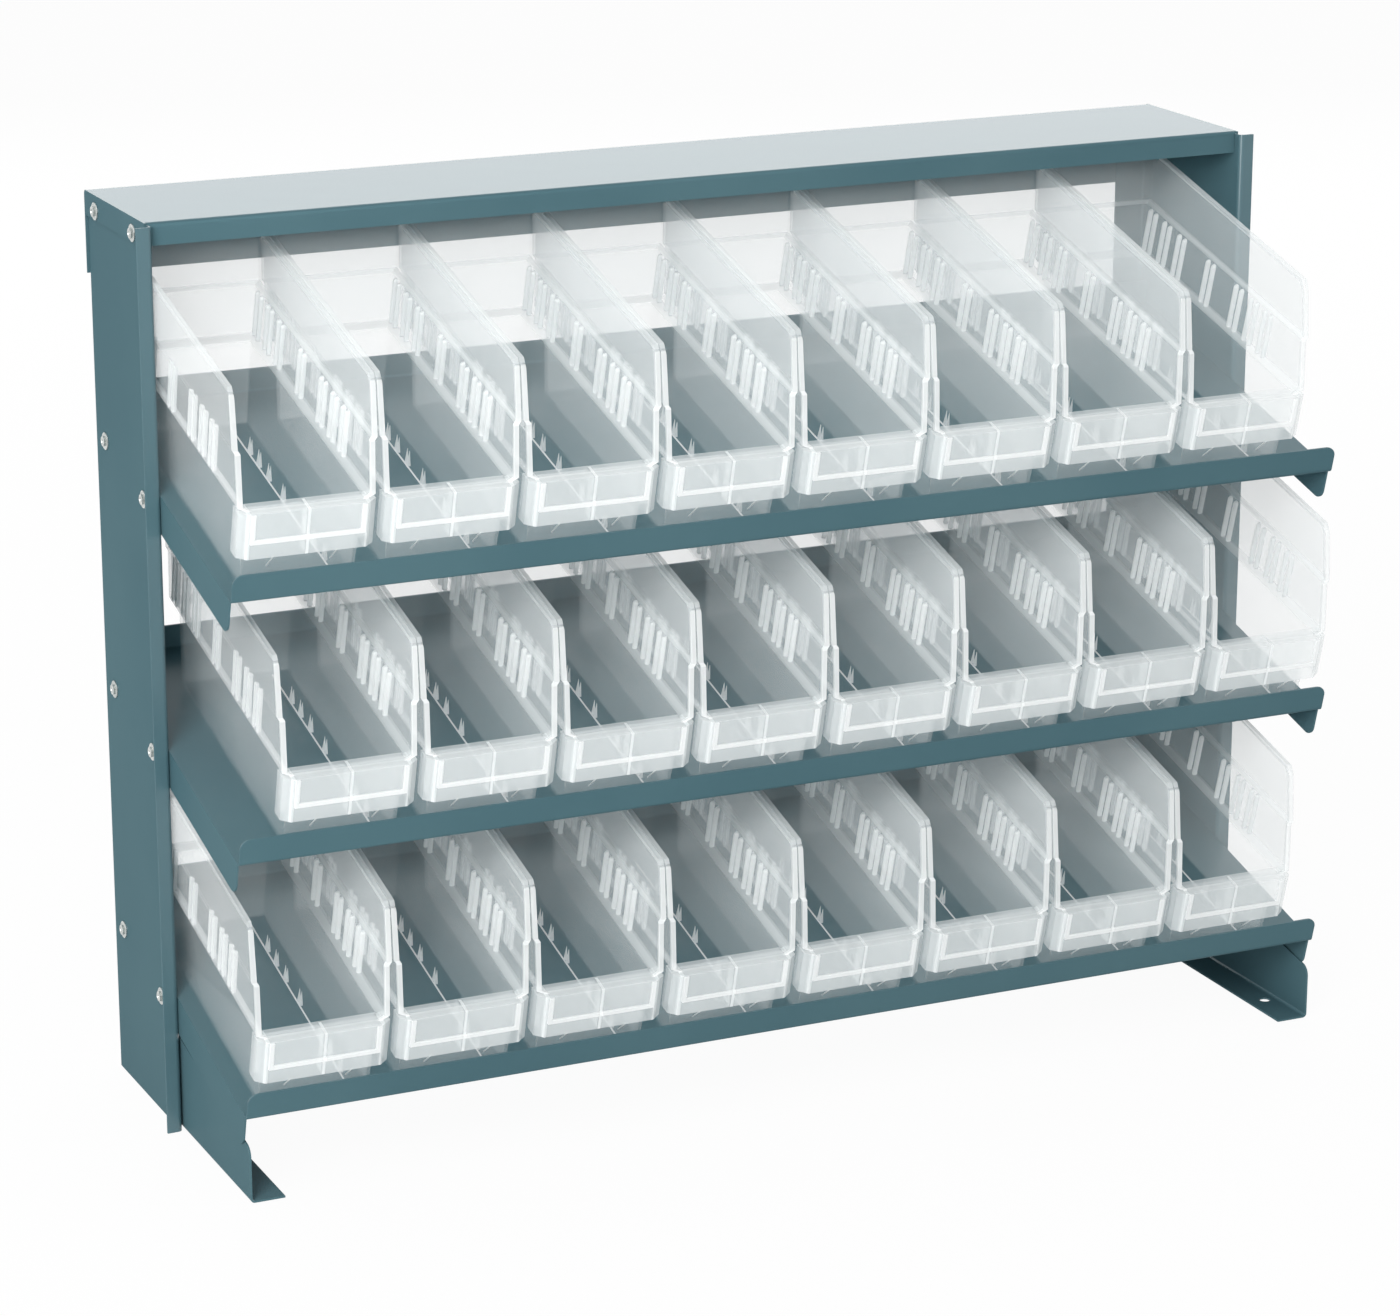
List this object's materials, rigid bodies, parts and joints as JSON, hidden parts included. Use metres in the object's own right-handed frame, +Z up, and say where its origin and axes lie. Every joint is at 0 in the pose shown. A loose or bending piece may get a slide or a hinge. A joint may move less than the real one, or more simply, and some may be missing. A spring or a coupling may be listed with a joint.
{
  "type": "bin rack",
  "caption": "Bench-top steel rack with sloped shelves and rows of clear plastic shelf bins that tip up and lift out over a front lip.",
  "frame": {"origin": "centre of the overall box at bench level, under the feet", "axes": "+X along the rack to the right as seen from the front, +Y from the front to the back, +Z up"},
  "size_m": [0.936, 0.3282, 0.703],
  "materials": {
    "steel": "satin powder coat, grey-blue",
    "zinc": "bright zinc plate",
    "plastic": "clear polypropylene, frosted"
  },
  "bodies": {
    "frame": {"left_upright": "steel", "right_upright": "steel", "top_shelf": "steel", "upper_shelf": "steel", "middle_shelf": "steel", "lower_shelf": "steel", "left_foot": "steel", "right_foot": "steel", "left_bolts": "zinc", "right_bolts": "zinc", "left_nuts": "zinc", "right_nuts": "zinc"},
    "upper_bin_1": {"upper_bin_1": "plastic"},
    "upper_bin_2": {"upper_bin_2": "plastic"},
    "upper_bin_3": {"upper_bin_3": "plastic"},
    "upper_bin_4": {"upper_bin_4": "plastic"},
    "upper_bin_5": {"upper_bin_5": "plastic"},
    "upper_bin_6": {"upper_bin_6": "plastic"},
    "upper_bin_7": {"upper_bin_7": "plastic"},
    "upper_bin_8": {"upper_bin_8": "plastic"},
    "middle_bin_1": {"middle_bin_1": "plastic"},
    "middle_bin_2": {"middle_bin_2": "plastic"},
    "middle_bin_3": {"middle_bin_3": "plastic"},
    "middle_bin_4": {"middle_bin_4": "plastic"},
    "middle_bin_5": {"middle_bin_5": "plastic"},
    "middle_bin_6": {"middle_bin_6": "plastic"},
    "middle_bin_7": {"middle_bin_7": "plastic"},
    "middle_bin_8": {"middle_bin_8": "plastic"},
    "lower_bin_1": {"lower_bin_1": "plastic"},
    "lower_bin_2": {"lower_bin_2": "plastic"},
    "lower_bin_3": {"lower_bin_3": "plastic"},
    "lower_bin_4": {"lower_bin_4": "plastic"},
    "lower_bin_5": {"lower_bin_5": "plastic"},
    "lower_bin_6": {"lower_bin_6": "plastic"},
    "lower_bin_7": {"lower_bin_7": "plastic"},
    "lower_bin_8": {"lower_bin_8": "plastic"}
  },
  "joints": [
    {"name": "upper_bin_1_tip", "type": "hinge", "parent": "frame", "child": "upper_bin_1", "pos_m": [-0.40035, 0.09973, 0.52475], "axis": [-1, 0, 0], "range_deg": [0, 8]},
    {"name": "upper_bin_2_tip", "type": "hinge", "parent": "frame", "child": "upper_bin_2", "pos_m": [-0.29035, 0.09973, 0.52475], "axis": [-1, 0, 0], "range_deg": [0, 8]},
    {"name": "upper_bin_3_tip", "type": "hinge", "parent": "frame", "child": "upper_bin_3", "pos_m": [-0.18035, 0.09973, 0.52475], "axis": [-1, 0, 0], "range_deg": [0, 8]},
    {"name": "upper_bin_4_tip", "type": "hinge", "parent": "frame", "child": "upper_bin_4", "pos_m": [-0.07035, 0.09973, 0.52475], "axis": [-1, 0, 0], "range_deg": [0, 8]},
    {"name": "upper_bin_5_tip", "type": "hinge", "parent": "frame", "child": "upper_bin_5", "pos_m": [0.03965, 0.09973, 0.52475], "axis": [-1, 0, 0], "range_deg": [0, 8]},
    {"name": "upper_bin_6_tip", "type": "hinge", "parent": "frame", "child": "upper_bin_6", "pos_m": [0.14965, 0.09973, 0.52475], "axis": [-1, 0, 0], "range_deg": [0, 8]},
    {"name": "upper_bin_7_tip", "type": "hinge", "parent": "frame", "child": "upper_bin_7", "pos_m": [0.25965, 0.09973, 0.52475], "axis": [-1, 0, 0], "range_deg": [0, 8]},
    {"name": "upper_bin_8_tip", "type": "hinge", "parent": "frame", "child": "upper_bin_8", "pos_m": [0.36965, 0.09973, 0.52475], "axis": [-1, 0, 0], "range_deg": [0, 8]},
    {"name": "middle_bin_1_tip", "type": "hinge", "parent": "frame", "child": "middle_bin_1", "pos_m": [-0.37405, 0.09586, 0.32742], "axis": [-1, 0, 0], "range_deg": [0, 8]},
    {"name": "middle_bin_2_tip", "type": "hinge", "parent": "frame", "child": "middle_bin_2", "pos_m": [-0.26405, 0.09586, 0.32742], "axis": [-1, 0, 0], "range_deg": [0, 8]},
    {"name": "middle_bin_3_tip", "type": "hinge", "parent": "frame", "child": "middle_bin_3", "pos_m": [-0.15405, 0.09586, 0.32742], "axis": [-1, 0, 0], "range_deg": [0, 8]},
    {"name": "middle_bin_4_tip", "type": "hinge", "parent": "frame", "child": "middle_bin_4", "pos_m": [-0.04405, 0.09586, 0.32742], "axis": [-1, 0, 0], "range_deg": [0, 8]},
    {"name": "middle_bin_5_tip", "type": "hinge", "parent": "frame", "child": "middle_bin_5", "pos_m": [0.06595, 0.09586, 0.32742], "axis": [-1, 0, 0], "range_deg": [0, 8]},
    {"name": "middle_bin_6_tip", "type": "hinge", "parent": "frame", "child": "middle_bin_6", "pos_m": [0.17595, 0.09586, 0.32742], "axis": [-1, 0, 0], "range_deg": [0, 8]},
    {"name": "middle_bin_7_tip", "type": "hinge", "parent": "frame", "child": "middle_bin_7", "pos_m": [0.28595, 0.09586, 0.32742], "axis": [-1, 0, 0], "range_deg": [0, 8]},
    {"name": "middle_bin_8_tip", "type": "hinge", "parent": "frame", "child": "middle_bin_8", "pos_m": [0.39595, 0.09586, 0.32742], "axis": [-1, 0, 0], "range_deg": [0, 8]},
    {"name": "lower_bin_1_tip", "type": "hinge", "parent": "frame", "child": "lower_bin_1", "pos_m": [-0.39955, 0.09441, 0.13073], "axis": [-1, 0, 0], "range_deg": [0, 8]},
    {"name": "lower_bin_2_tip", "type": "hinge", "parent": "frame", "child": "lower_bin_2", "pos_m": [-0.28955, 0.09441, 0.13073], "axis": [-1, 0, 0], "range_deg": [0, 8]},
    {"name": "lower_bin_3_tip", "type": "hinge", "parent": "frame", "child": "lower_bin_3", "pos_m": [-0.17955, 0.09441, 0.13073], "axis": [-1, 0, 0], "range_deg": [0, 8]},
    {"name": "lower_bin_4_tip", "type": "hinge", "parent": "frame", "child": "lower_bin_4", "pos_m": [-0.06955, 0.09441, 0.13073], "axis": [-1, 0, 0], "range_deg": [0, 8]},
    {"name": "lower_bin_5_tip", "type": "hinge", "parent": "frame", "child": "lower_bin_5", "pos_m": [0.04045, 0.09441, 0.13073], "axis": [-1, 0, 0], "range_deg": [0, 8]},
    {"name": "lower_bin_6_tip", "type": "hinge", "parent": "frame", "child": "lower_bin_6", "pos_m": [0.15045, 0.09441, 0.13073], "axis": [-1, 0, 0], "range_deg": [0, 8]},
    {"name": "lower_bin_7_tip", "type": "hinge", "parent": "frame", "child": "lower_bin_7", "pos_m": [0.26045, 0.09441, 0.13073], "axis": [-1, 0, 0], "range_deg": [0, 8]},
    {"name": "lower_bin_8_tip", "type": "hinge", "parent": "frame", "child": "lower_bin_8", "pos_m": [0.37045, 0.09441, 0.13073], "axis": [-1, 0, 0], "range_deg": [0, 8]}
  ]
}
